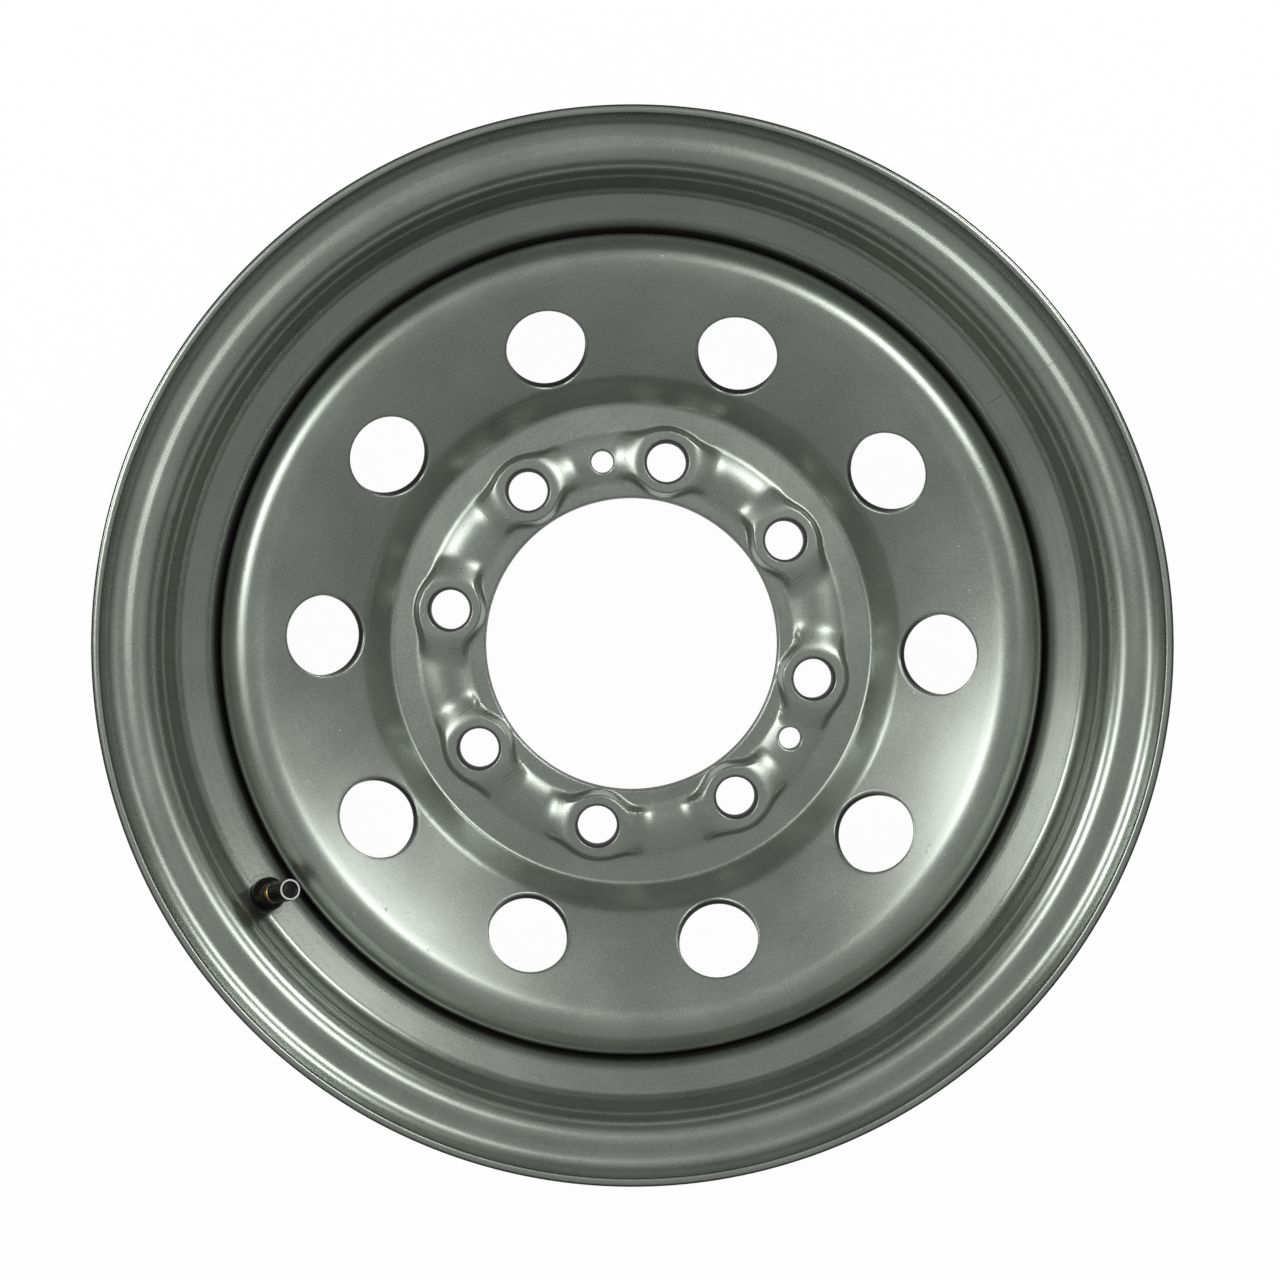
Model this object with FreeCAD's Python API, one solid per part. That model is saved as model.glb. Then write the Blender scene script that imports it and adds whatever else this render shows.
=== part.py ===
import FreeCAD, Part
import math
import os

from FreeCAD import Placement, Rotation, Vector

# A pressed and welded steel wheel with a snap-in tyre valve.
# Lengths are millimetres and angles are degrees. The wheel's axis is Z, +Z is the outboard side,
# and Z = 0 is both the face that bolts to the hub and the middle plane of the rim.
# The butt weld of the rim, the first bolt and the first hand hole lie on +X, and the valve on -X.

# Rim: a 16 inch rim, 6 inches wide, with a K flange. Standard sizes are of the tyre side.
rim_width = 152.4
rim_gauge = 3.6
bead_seat_radius = 202.8
bead_seat_taper = 5.0
flange_height = 19.6
flange_lean = 5.0
lip_reach = 11.8
well_depth = 20.2
well_wall_top = 43.0
well_wall_tilt = 31.0
well_wall_top_radius = 12.0
well_corner_radius = 10.0
well_inboard_edge = 10.0
well_ramp_angle = 40.0

# Disc
disc_gauge = 5.5
bore_radius = 65.4
crease_radius = 108.0
bowl_wall_angle = 53.0
bowl_wall_run = 9.5
bowl_angle = 27.0
crown_radius = 12.5
skirt_end_height = 6.0
skirt_clearance = 0.15

# Bolt land: a ridge between the bore and the crease that ramps up to a boss at each bolt
bolt_count = 8
bolt_circle_radius = 82.55
bolt_hole_radius = 8.35
nut_seat_radius = 9.8
nut_seat_angle = 60.0
land_inner_radius = 72.8
land_outer_radius = 95.1
land_rise = 3.0
land_flank_angle = 45.0
boss_rise = 7.0
boss_top_radius = 12.3
boss_flank_angle = 58.0
boss_ramp_length = 18.0
tooling_hole_radius = 4.65
tooling_hole_angle = 65.0

# Hand holes, punched square to the slope of the bowl
hand_hole_count = 10
hand_hole_radius = 17.5
hand_hole_circle_radius = 135.0

# Weld beads along the inboard end of the disc's skirt
weld_count = 8
weld_arc = 32.0
weld_leg = 5.0

# Valve, along its own axis from the air side of the rim sheet, part of the way up the well's wall
valve_wall_share = 0.4857
valve_hole_radius = 5.75
valve_seat_radius = 9.0
valve_lean = 7.0
valve_lean_height = 1.5
rubber_foot_radius = 9.5
rubber_foot_height = 5.6
rubber_neck_clearance = 0.15
rubber_seat_clearance = 0.2
rubber_bulb_radius = 7.3
rubber_bulb_height = 3.2
rubber_top_radius = 5.0
rubber_height = 10.2
stem_radius = 3.85
stem_foot = 8.5
stem_height = 25.0
stem_bore_radius = 1.9
stem_fit = 0.05
core_chamber_radius = 2.65
core_chamber_depth = 9.5
core_clearance = 0.05
core_barrel_height = 5.2
core_barrel_top_gap = 0.8
core_sleeve_radius = 1.75
core_sleeve_length = 7.5
core_bore_radius = 0.95
core_pocket_radius = 1.55
core_pocket_depth = 4.2
core_gasket_height = 3.0
pin_radius = 0.55
pin_top_gap = 0.2
pin_collar_radius = 1.3
pin_collar_thickness = 0.5
pin_collar_drop = 1.1
pin_seal_radius = 1.5
pin_seal_thickness = 1.6
spring_wire_radius = 0.16
spring_turns = 3
cap_gap = 2.1
cap_clearance = 0.1
cap_radius = 4.65
cap_seal_thickness = 0.6
cap_web = 0.6
cap_recess_depth = 1.5
cap_recess_radius = 3.3

# Shortest flat that a section is drawn with
shortest_flat = 1.0

AXIS = Vector(0, 0, 1)
ORIGIN = Vector(0, 0, 0)
FULL_TURN = 360.0


def tangent(degrees):
    """Tangent of an angle in degrees."""
    return math.tan(math.radians(degrees))


def spot(radius, height):
    """A point of the half-plane that is turned about the axis."""
    return Vector(radius, 0, height)


def bend_spots(before, here, after, fillet, flats):
    """Points of a bend of a radius, drawn with a number of flats that start and end on its tangents."""
    back = (before - here).normalize()
    ahead = (after - here).normalize()
    half = back.getAngle(ahead) / 2
    centre = here + (back + ahead).normalize() * (fillet / math.sin(half))
    start = here + back * (fillet / math.tan(half)) - centre
    spots = []
    for step in range(flats + 1):
        turn = (math.pi - 2 * half) * step / flats
        spots.append(centre + start * math.cos(turn) - back * (fillet * math.sin(turn)))
    return spots


def path(corners):
    """Points through (radius, height, fillet, flats) corners. A corner with no flats stays sharp."""
    places = [spot(*corner[:2]) for corner in corners]
    points = [places[0]]
    for before, here, after, corner in zip(places, places[1:], places[2:], corners[1:]):
        fillet, flats = corner[2:]
        points += bend_spots(before, here, after, fillet, flats) if flats else [here]
    points.append(places[-1])
    kept = points[:1]
    for point in points[1:]:
        if (point - kept[-1]).Length > shortest_flat:
            kept.append(point)
    return kept


def shifted_corners(corners, distance):
    """The corners moved to the right of their direction by a distance, with bends kept concentric."""
    points = [spot(*corner[:2]) for corner in corners]
    steps = [(b - a).normalize() for a, b in zip(points, points[1:])]
    sides = [Vector(step.z, 0, -step.x) for step in steps]
    moved = []
    for index, (corner, point) in enumerate(zip(corners, points)):
        first = sides[max(index - 1, 0)]
        second = sides[min(index, len(sides) - 1)]
        place = point + (first + second) * (distance / (1 + first.dot(second)))
        turn = first.x * second.z - first.z * second.x
        fillet, flats = corner[2:]
        moved.append((place.x, place.z, fillet + distance * math.copysign(1, turn), flats))
    return moved


def turned(points, angle=FULL_TURN):
    """The solid that a closed outline of points sweeps about the axis."""
    return Part.Face(Part.makePolygon(points + points[:1])).revolve(ORIGIN, AXIS, angle)


def turned_profile(corners):
    """The solid of a closed profile of sharp (radius, height) corners."""
    return turned([spot(*corner) for corner in corners])


def sheet(corners, gauge):
    """The solid of a turned sheet with one side along the corners and a gauge to their right."""
    return turned(path(corners) + path(shifted_corners(corners, gauge))[::-1])


def cylinder(radius, bottom, top):
    """A plain round bar on the axis."""
    return Part.makeCylinder(radius, top - bottom, Vector(0, 0, bottom), AXIS)


def cone(bottom_radius, top_radius, bottom, top):
    """A plain cone on the axis."""
    return Part.makeCone(bottom_radius, top_radius, top - bottom, Vector(0, 0, bottom), AXIS)


def placed(shape, placement):
    """A copy of a shape in another frame."""
    copy = shape.copy()
    copy.Placement = placement.multiply(copy.Placement)
    return copy


def around(shape, count):
    """Copies of a shape spaced evenly about the axis."""
    step = FULL_TURN / count
    return [placed(shape, Placement(ORIGIN, Rotation(AXIS, step * index))) for index in range(count)]


# Rim section, worked out on the tyre side
half_width = rim_width / 2
lip_height = half_width + lip_reach
flange_top_radius = bead_seat_radius + flange_height
flange_top_height = half_width - flange_height * tangent(flange_lean)
well_outer_radius = bead_seat_radius - well_depth
well_inner_radius = well_outer_radius - rim_gauge
taper = tangent(bead_seat_taper)


def seat_radius(height):
    """Radius of the tapered bead seat at a distance from the rim's middle plane."""
    return bead_seat_radius - (half_width - height) * taper


well_wall_rise = seat_radius(well_wall_top) - well_outer_radius
valve_circle_radius = well_outer_radius + valve_wall_share * well_wall_rise


def flange_corners():
    """Lip, flange and heel of one side, as distances from the middle plane.

    The lip's bend ends at the lip's edge, and the heel's bend takes the rest of the flange.
    """
    quarter = FULL_TURN / 4
    lip_run = lip_height - flange_top_height
    lip_radius = lip_run / tangent((quarter + flange_lean) / 2)
    heel_run = math.hypot(flange_height, half_width - flange_top_height) - lip_run
    heel_radius = heel_run / tangent((quarter - bead_seat_taper + flange_lean) / 2)
    return [
        (flange_top_radius, lip_height, 0, 0),
        (flange_top_radius, flange_top_height, lip_radius, 2),
        (bead_seat_radius, half_width, heel_radius, 2),
    ]


def rim_corners():
    """The whole tyre side, from the outboard lip to the inboard lip."""
    wall_foot = well_wall_top - well_wall_rise * tangent(well_wall_tilt)
    ramp = 1 / tangent(well_ramp_angle)
    ledge = seat_radius(well_inboard_edge) - well_outer_radius * ramp * taper
    ledge = ledge / (1 - ramp * taper)
    ledge_height = well_inboard_edge + (ledge - well_outer_radius) * ramp
    outboard = flange_corners()
    inboard = [(radius, -height, fillet, flats) for radius, height, fillet, flats in reversed(outboard)]
    well = [
        (seat_radius(well_wall_top), well_wall_top, well_wall_top_radius, 1),
        (well_outer_radius, wall_foot, well_corner_radius, 1),
        (well_outer_radius, -well_inboard_edge, 0, 0),
        (ledge, -ledge_height, 0, 0),
    ]
    return outboard + well + inboard


def make_rim():
    """Roll-formed rim of one gauge, with a flat seat and a hole for the valve."""
    seat = placed(cylinder(valve_seat_radius, 0, rim_gauge), valve_frame)
    hole = placed(cylinder(valve_hole_radius, -2 * rim_gauge, rim_gauge), valve_frame)
    return sheet(rim_corners(), rim_gauge).cut(seat).cut(hole)


def valve_seat_height():
    """Height of the valve hole's centre on the air side of the well's wall."""
    tilt = math.radians(well_wall_tilt)
    on_tyre_side = well_wall_top - (1 - valve_wall_share) * well_wall_rise * math.tan(tilt)
    return on_tyre_side + rim_gauge / math.cos(tilt)


# Frame of the valve's seat, and of its stem, which leans on its rubber neck
valve_frame = Placement(
    Vector(-valve_circle_radius, 0, valve_seat_height()), Rotation(Vector(0, 1, 0), well_wall_tilt)
)
stem_frame = valve_frame.multiply(
    Placement(ORIGIN, Rotation(Vector(1, 0, 0), valve_lean), Vector(0, 0, valve_lean_height))
)


# Disc section, worked out on the outboard side
skirt_radius = well_inner_radius - skirt_clearance
bowl_root_radius = crease_radius + bowl_wall_run
bowl_root_height = disc_gauge + bowl_wall_run * tangent(bowl_wall_angle)
bowl_slope = tangent(bowl_angle)
crown_corner_height = bowl_root_height + (skirt_radius - bowl_root_radius) * bowl_slope
boss_top = disc_gauge + boss_rise


def ridge_corners(rise):
    """Section of the ridge over the flat of the disc, up to a rise."""
    flank = rise / tangent(land_flank_angle)
    return [
        (land_inner_radius, disc_gauge),
        (land_inner_radius + flank, disc_gauge + rise),
        (land_outer_radius - flank, disc_gauge + rise),
        (land_outer_radius, disc_gauge),
    ]


def disc_corners():
    """Outboard side of the pressing, from the bore to the end of the skirt."""
    ridge = [(radius, height, 0, 0) for radius, height in ridge_corners(land_rise)]
    return [(bore_radius, disc_gauge, 0, 0)] + ridge + [
        (crease_radius, disc_gauge, 0, 0),
        (bowl_root_radius, bowl_root_height, 0, 0),
        (skirt_radius, crown_corner_height, crown_radius, 3),
        (skirt_radius, skirt_end_height, 0, 0),
    ]


def at_bolt(shape):
    """A shape moved from the axis to the first bolt."""
    return placed(shape, Placement(Vector(bolt_circle_radius, 0, 0), Rotation()))


def boss():
    """The boss of the first bolt, with its ramps along the ridge."""
    foot = boss_top_radius + boss_rise / tangent(boss_flank_angle)
    cup = at_bolt(cone(foot, boss_top_radius, disc_gauge, boss_top))
    ridge_top = disc_gauge + land_rise
    ramp = at_bolt(cone(boss_top_radius + boss_ramp_length, boss_top_radius, ridge_top, boss_top))
    return cup.fuse(ramp.common(turned_profile(ridge_corners(boss_rise))))


def bolt_hole():
    """The first bolt's hole with its cone for the nut."""
    cone_depth = (nut_seat_radius - bolt_hole_radius) / tangent(nut_seat_angle / 2)
    wall = cylinder(bolt_hole_radius, -disc_gauge, boss_top)
    return at_bolt(wall.fuse(cone(bolt_hole_radius, nut_seat_radius, boss_top - cone_depth, boss_top)))


def hand_hole():
    """A hand hole's punch, square to the slope of the bowl, on +X."""
    rise = (hand_hole_circle_radius - bowl_root_radius) * bowl_slope
    centre = Vector(hand_hole_circle_radius, 0, bowl_root_height + rise)
    punch = cylinder(hand_hole_radius, -3 * disc_gauge, 2 * disc_gauge)
    return placed(punch, Placement(centre, Rotation(Vector(0, 1, 0), -bowl_angle)))


def tooling_holes():
    """The two small locating holes on the bolt circle."""
    drill = at_bolt(cylinder(tooling_hole_radius, -disc_gauge, 3 * disc_gauge))
    angles = (tooling_hole_angle, -tooling_hole_angle)
    return [placed(drill, Placement(ORIGIN, Rotation(AXIS, angle))) for angle in angles]


def make_disc():
    """Pressed disc of one gauge, with coined bosses on its bolt land."""
    disc = sheet(disc_corners(), disc_gauge).fuse(around(boss(), bolt_count))
    disc = disc.cut(cylinder(bore_radius, -disc_gauge, boss_top + disc_gauge))
    disc = disc.cut(around(bolt_hole(), bolt_count) + tooling_holes())
    return disc.cut(around(hand_hole(), hand_hole_count)).removeSplitter()


def make_weld():
    """Fillet beads between the end of the skirt and the rim's well."""
    bead = turned([
        spot(well_inner_radius - weld_leg, skirt_end_height),
        spot(well_inner_radius, skirt_end_height),
        spot(well_inner_radius, skirt_end_height - weld_leg),
    ], weld_arc)
    bead = placed(bead, Placement(ORIGIN, Rotation(AXIS, -weld_arc / 2)))
    return Part.makeCompound(around(bead, weld_count))


# Heights along the valve's stem
rubber_bore_radius = stem_radius + stem_fit
chamber_floor = stem_height - core_chamber_depth
barrel_top = stem_height - core_barrel_top_gap
barrel_bottom = barrel_top - core_barrel_height
barrel_radius = core_chamber_radius - core_clearance
sleeve_bottom = barrel_bottom - core_sleeve_length
pocket_floor = barrel_top - core_pocket_depth
pin_top = stem_height - pin_top_gap
collar_top = pin_top - pin_collar_drop
collar_bottom = collar_top - pin_collar_thickness
seal_top = sleeve_bottom - core_clearance
cap_bottom = rubber_height + cap_gap
cap_seal_bottom = stem_height + core_clearance
cap_seal_top = cap_seal_bottom + cap_seal_thickness
cap_bore_radius = stem_radius + cap_clearance
cap_top = cap_seal_top + cap_web + cap_recess_depth


def make_valve_body():
    """Rubber body: a foot that follows the rim's tyre side, a neck in the hole and a bulb that the stem leans with."""
    foot_bottom = -rim_gauge - rubber_seat_clearance - rubber_foot_height
    foot = placed(cylinder(rubber_foot_radius, foot_bottom, -rim_gauge), valve_frame)
    foot = foot.cut(sheet(shifted_corners(rim_corners(), -rubber_seat_clearance), rim_gauge))
    neck_radius = valve_hole_radius - rubber_neck_clearance
    neck = placed(cylinder(neck_radius, foot_bottom, rubber_bulb_height), valve_frame)
    bulb = cylinder(rubber_bulb_radius, -rubber_bulb_height, rubber_bulb_height)
    bulb = bulb.fuse(cone(rubber_bulb_radius, rubber_top_radius, rubber_bulb_height, rubber_height))
    below = cylinder(2 * rubber_bulb_radius, -2 * rubber_bulb_height, rubber_seat_clearance)
    bulb = placed(bulb, stem_frame).cut(placed(below, valve_frame))
    bore = cylinder(rubber_bore_radius, 2 * foot_bottom, 2 * rubber_height)
    return foot.fuse([neck, bulb]).cut(placed(bore, stem_frame)).removeSplitter()


def make_valve_stem():
    """Brass tube with a chamber for the valve core, which narrows to a cone at its floor."""
    narrowing = core_chamber_radius - stem_bore_radius
    return turned_profile([
        (stem_bore_radius, -stem_foot),
        (stem_radius, -stem_foot),
        (stem_radius, stem_height),
        (core_chamber_radius, stem_height),
        (core_chamber_radius, chamber_floor),
        (stem_bore_radius, chamber_floor - narrowing),
    ])


def make_core_barrel():
    """Threaded barrel with a sleeve below it and a pocket for the spring."""
    return turned_profile([
        (core_bore_radius, sleeve_bottom),
        (core_sleeve_radius, sleeve_bottom),
        (core_sleeve_radius, barrel_bottom),
        (barrel_radius, barrel_bottom),
        (barrel_radius, barrel_top),
        (core_pocket_radius, barrel_top),
        (core_pocket_radius, pocket_floor),
        (core_bore_radius, pocket_floor),
    ])


def make_core_gasket():
    """Ring under the barrel that seals the chamber."""
    bottom = barrel_bottom - core_gasket_height
    ring = cylinder(barrel_radius, bottom, barrel_bottom)
    return ring.cut(cylinder(core_sleeve_radius + core_clearance, bottom, barrel_bottom))


def make_core_pin():
    """Pin with a collar that the spring lifts."""
    return cylinder(pin_radius, seal_top, pin_top).fuse(cylinder(pin_collar_radius, collar_bottom, collar_top))


def make_core_seal():
    """Rubber button on the pin's end that closes the sleeve."""
    return cylinder(pin_seal_radius, seal_top - pin_seal_thickness, seal_top)


def make_core_spring():
    """Coil spring between the barrel's pocket and the pin's collar."""
    wire = spring_wire_radius
    coil_radius = (pin_radius + core_pocket_radius) / 2
    bottom = pocket_floor + wire + core_clearance
    length = collar_bottom - wire - core_clearance - bottom
    helix = Part.makeHelix(length / spring_turns, length, coil_radius)
    helix.translate(Vector(0, 0, bottom))
    start = Vector(coil_radius, 0, bottom)
    section = Part.Wire(Part.makePolygon([
        start + Vector(wire, 0, 0),
        start + Vector(0, 0, wire),
        start - Vector(wire, 0, 0),
        start - Vector(0, 0, wire),
        start + Vector(wire, 0, 0),
    ]))
    return Part.Wire(helix).makePipeShell([section], True, True)


def make_cap():
    """Screw cap with a recessed end."""
    return turned_profile([
        (cap_bore_radius, cap_bottom),
        (cap_radius, cap_bottom),
        (cap_radius, cap_top),
        (cap_recess_radius, cap_top),
        (cap_recess_radius, cap_top - cap_recess_depth),
        (0, cap_top - cap_recess_depth),
        (0, cap_seal_top),
        (cap_bore_radius, cap_seal_top),
    ])


def make_cap_seal():
    """Soft disc in the cap that closes the stem."""
    return cylinder(stem_radius, cap_seal_bottom, cap_seal_top)


parts = {
    "rim": make_rim(),
    "disc": make_disc(),
    "disc_weld": make_weld(),
    "valve_body": make_valve_body(),
    "valve_stem": placed(make_valve_stem(), stem_frame),
    "valve_core_barrel": placed(make_core_barrel(), stem_frame),
    "valve_core_gasket": placed(make_core_gasket(), stem_frame),
    "valve_core_pin": placed(make_core_pin(), stem_frame),
    "valve_core_seal": placed(make_core_seal(), stem_frame),
    "valve_core_spring": placed(make_core_spring(), stem_frame),
    "valve_cap": placed(make_cap(), stem_frame),
    "valve_cap_seal": placed(make_cap_seal(), stem_frame),
}

os.makedirs("parts", exist_ok=True)
for name, shape in parts.items():
    shape.exportStep(f"parts/{name}.step")
    print(f"{name}: {len(shape.Solids)} solids, {shape.Volume:.1f} mm3, valid {shape.isValid()}")
print("stem axis", stem_frame.Rotation.multVec(AXIS), "stem foot", stem_frame.Base)
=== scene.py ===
# %% [markdown]
# # A painted steel wheel
# The wheel is a rolled rim with a pressed disc welded into it, and a snap-in tyre valve.
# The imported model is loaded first. It fixes the size and the place of every piece, so what is modelled
# here only has to be finer than the solids it stands for: real bends, rolled hole edges, knurling.

# %% Load the frame
import math

import bmesh
import bpy
from mathutils import Matrix, Vector


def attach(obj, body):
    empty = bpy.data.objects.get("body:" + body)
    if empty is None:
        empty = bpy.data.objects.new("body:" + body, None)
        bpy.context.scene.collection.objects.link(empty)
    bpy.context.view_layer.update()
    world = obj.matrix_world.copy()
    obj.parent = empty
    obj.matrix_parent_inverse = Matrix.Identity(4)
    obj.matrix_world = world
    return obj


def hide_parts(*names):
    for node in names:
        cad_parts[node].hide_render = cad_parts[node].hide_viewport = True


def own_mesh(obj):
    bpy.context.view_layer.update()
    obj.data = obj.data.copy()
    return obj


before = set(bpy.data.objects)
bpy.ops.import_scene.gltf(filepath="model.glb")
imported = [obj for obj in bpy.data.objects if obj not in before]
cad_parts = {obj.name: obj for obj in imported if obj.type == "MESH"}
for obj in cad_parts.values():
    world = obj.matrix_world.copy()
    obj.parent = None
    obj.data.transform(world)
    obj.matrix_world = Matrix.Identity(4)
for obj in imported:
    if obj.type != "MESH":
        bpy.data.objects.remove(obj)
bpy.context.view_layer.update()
print("nodes:", sorted(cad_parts))

# %% [markdown]
# ## From a bmesh to a piece
# Every piece is modelled in millimetres about the wheel's axis, because that is how a drawing gives its
# sizes. One helper merges what touches, points the faces outwards, scales the mesh to metres, hangs the
# piece on its body and hides the imported solids it stands for. The object itself stays at the origin, so
# that patterns in object coordinates stay in place.

# %% Finish a piece
MM = 0.001
MERGE = 0.004
FULL_TURN = 2 * math.pi
SHARP_ANGLE = math.radians(38)


def finished_piece(bm, name, material, body, slot, *nodes):
    """Makes a bmesh in millimetres into a piece that rides on a body and stands for CAD nodes."""
    bmesh.ops.remove_doubles(bm, verts=bm.verts, dist=MERGE)
    bmesh.ops.recalc_face_normals(bm, faces=bm.faces)
    bmesh.ops.scale(bm, vec=(MM, MM, MM), verts=bm.verts)
    open_edges = sum(1 for edge in bm.edges if not edge.is_manifold)
    triangles = sum(len(face.verts) - 2 for face in bm.faces)
    mesh = bpy.data.meshes.new(name)
    bm.to_mesh(mesh)
    bm.free()
    mesh.shade_smooth()
    mesh.set_sharp_from_angle(angle=SHARP_ANGLE)
    mesh.materials.append(material)
    piece = bpy.data.objects.new(name, mesh)
    bpy.context.scene.collection.objects.link(piece)
    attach(piece, body)
    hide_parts(*nodes)
    print(f"{name}: {triangles} triangles, {open_edges} open edges")
    return piece


# %% [markdown]
# ## Shader sums in Python
# A material is a graph of small nodes. Wrapping a socket in a class with the usual operators lets the graph
# be written as sums, which is far easier to read than node by node. Anything that isn't a sum comes from one
# method that sets a node's own settings first and then its sockets.

# %% Wrap a shader socket
class Wire:
    """A shader socket that takes part in Python sums."""

    def __init__(self, tree, socket):
        self.tree = tree
        self.socket = socket

    def node(self, kind, settings, inputs, output=0):
        """Adds a node of a kind, sets it up, feeds its sockets and gives one of its outputs."""
        made = self.tree.nodes.new(kind)
        for name, value in settings.items():
            setattr(made, name, value)
        for name, value in inputs.items():
            if isinstance(value, Wire):
                self.tree.links.new(value.socket, made.inputs[name])
            else:
                made.inputs[name].default_value = value
        return Wire(self.tree, made.outputs[output])

    def output(self, name):
        """Another output of the same node."""
        return Wire(self.tree, self.socket.node.outputs[name])

    def maths(self, operation, *others):
        """The value put through a Math node with any further values."""
        return self.node("ShaderNodeMath", {"operation": operation}, dict(enumerate((self, *others))))

    def vector_maths(self, operation, *others, output="Vector"):
        """The vector put through a Vector Math node with any further vectors."""
        inputs = dict(enumerate((self, *others)))
        return self.node("ShaderNodeVectorMath", {"operation": operation}, inputs, output)

    def __add__(self, other):
        return self.maths("ADD", other)

    def __sub__(self, other):
        return self.maths("SUBTRACT", other)

    def __rsub__(self, other):
        return self.maths("MULTIPLY_ADD", -1.0, other)

    def __mul__(self, other):
        return self.maths("MULTIPLY", other)

    def step(self, low, high):
        """A smooth 0 to 1 as the value goes from low to high."""
        settings = {"interpolation_type": "SMOOTHSTEP"}
        return self.node("ShaderNodeMapRange", settings, {"Value": self, "From Min": low, "From Max": high})

    def band(self, middle, half):
        """1 where the value is within half of the middle, fading to 0 over half as much again."""
        return 1 - (self - middle).maths("ABSOLUTE").step(half, 1.5 * half)

    def noise(self, scale, detail=2.0, rough=0.5):
        """Cloudy noise of about so many features a millimetre, from 0 to 1."""
        return self.node("ShaderNodeTexNoise", {}, {
            "Vector": self, "Scale": scale, "Detail": detail, "Roughness": rough})

    def mix(self, first, second):
        """The first colour where the value is 0 and the second where it is 1."""
        return self.node("ShaderNodeMix", {"data_type": "RGBA"}, {0: self, 6: first, 7: second}, 2)

    def bump(self, depth):
        """The normal of a surface with this height in millimetres times a depth."""
        return self.node("ShaderNodeBump", {}, {"Height": self, "Distance": depth * MM, "Strength": 1.0})

    def feed(self, shader, socket):
        """Links the value to a socket of a shader."""
        self.tree.links.new(self.socket, shader.inputs[socket])


def new_finish(name, **constants):
    """A material, its shader with constants set, and the object coordinates in millimetres."""
    material = bpy.data.materials.new(name)
    material.use_nodes = True
    tree = material.node_tree
    shader = tree.nodes["Principled BSDF"]
    for socket, value in constants.items():
        shader.inputs[socket.replace("_", " ")].default_value = value
    place = Wire(tree, tree.nodes.new("ShaderNodeTexCoord").outputs["Object"])
    spot = place.node("ShaderNodeVectorMath", {"operation": "SCALE"}, {0: place, "Scale": 1 / MM})
    return material, shader, spot


def grey(level, tint=(1.0, 1.0, 1.0)):
    """A grey of one level with a slight tint."""
    return tuple(level * share for share in tint) + (1.0,)


# %% [markdown]
# ## The grey paint
# The wheel is sprayed with a satin grey paint that has metal flake in it. It reads as metal with a fairly
# tight highlight, so it is a metallic shader with a lowish roughness under a thin coat. Three things keep it
# from looking like plastic: flake as fine light and dark noise, orange peel as a shallow bump about two
# millimetres wide, and on the rim the fine rings that the forming rollers leave. A few dust nibs are noise
# that is cut off high.
#
# Marks in known places come from distances, as bands about a middle. The rim has the faint seam of its butt
# weld, a ring coined round the valve hole, and painted shade in the groove where its well goes down behind the
# disc. The disc has short rubs beside its bosses. The walls of all holes are painted nearly black as painted
# shade.

# %% Marks on the rim and the disc
BOLT_COUNT = 8
BOLT_PITCH = FULL_TURN / BOLT_COUNT
rim_wall_lean = math.radians(31)
valve_hole = Vector((-191.0, 0.0, 41.855))
hole_axis = Vector((math.sin(rim_wall_lean), 0, math.cos(rim_wall_lean)))
seam_half = 0.25
seam_side = (150, 160)
seam_on_flange = (207, 4)
seam_on_wall = (189, 3)
coined_ring = (8.7, 0.35)
groove_radii = (180.8, 182.4)
groove_heights = (15, 18)
rub_lines = ((17.2, 0.12), (19.0, 0.08))
rub_radii = (80.5, 3.0)


def rim_marks(spot, x, y, height, radius):
    """How much of the seam, of the coined ring and of the painted shadow in the groove there is at a spot of
    the rim.
    """
    strength = radius.band(*seam_on_flange) * 0.25 + radius.band(*seam_on_wall) * 0.35
    seam = y.band(0, seam_half) * x.step(*seam_side) * strength
    aside = spot.vector_maths("SUBTRACT", valve_hole).vector_maths("CROSS_PRODUCT", hole_axis)
    coined = aside.vector_maths("LENGTH", output="Value").band(*coined_ring)
    # Painted shade: the groove behind the disc is darkened where the well goes down out of the light.
    groove = (1 - radius.step(*groove_radii)) * height.band(*groove_heights)
    return seam, coined, groove


def disc_rubs(spot, turn, radius):
    """How much of the rubs beside the bosses there is at a spot of the disc."""
    beside = turn.maths("WRAP", BOLT_PITCH / 2, -BOLT_PITCH / 2).maths("ABSOLUTE") * radius
    first, second = (beside.band(*line) for line in rub_lines)
    patchy = spot.noise(0.06, 0.0).step(0.47, 0.55)
    return (first + second) * radius.band(*rub_radii) * patchy


# %% Paint for the disc and the rim
PAINT_TINT = (0.93, 1.0, 0.905)
PAINT_GREY = 0.40
PAINT_DARK = 0.30
PAINT_ROUGHNESS = 0.24
PAINT_COAT = 0.15
NIB_HEIGHT = 6.0
SEAM_DEPTH = 8.0
COINED_DEPTH = 25.0
RIM_BUMP = 0.004
DISC_BUMP = 0.016
HOLE_WALL = "hole_wall"
# The hole walls and the rim's groove are darkened towards near black as painted shade; the seam and the rubs
# darken the same way as real marks.
HOLE_SHADE = 0.95
GROOVE_SHADE = 0.85
RUB_SHADE = 0.45
SHADE_AND_WEAR_GREY = 0.004


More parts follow.
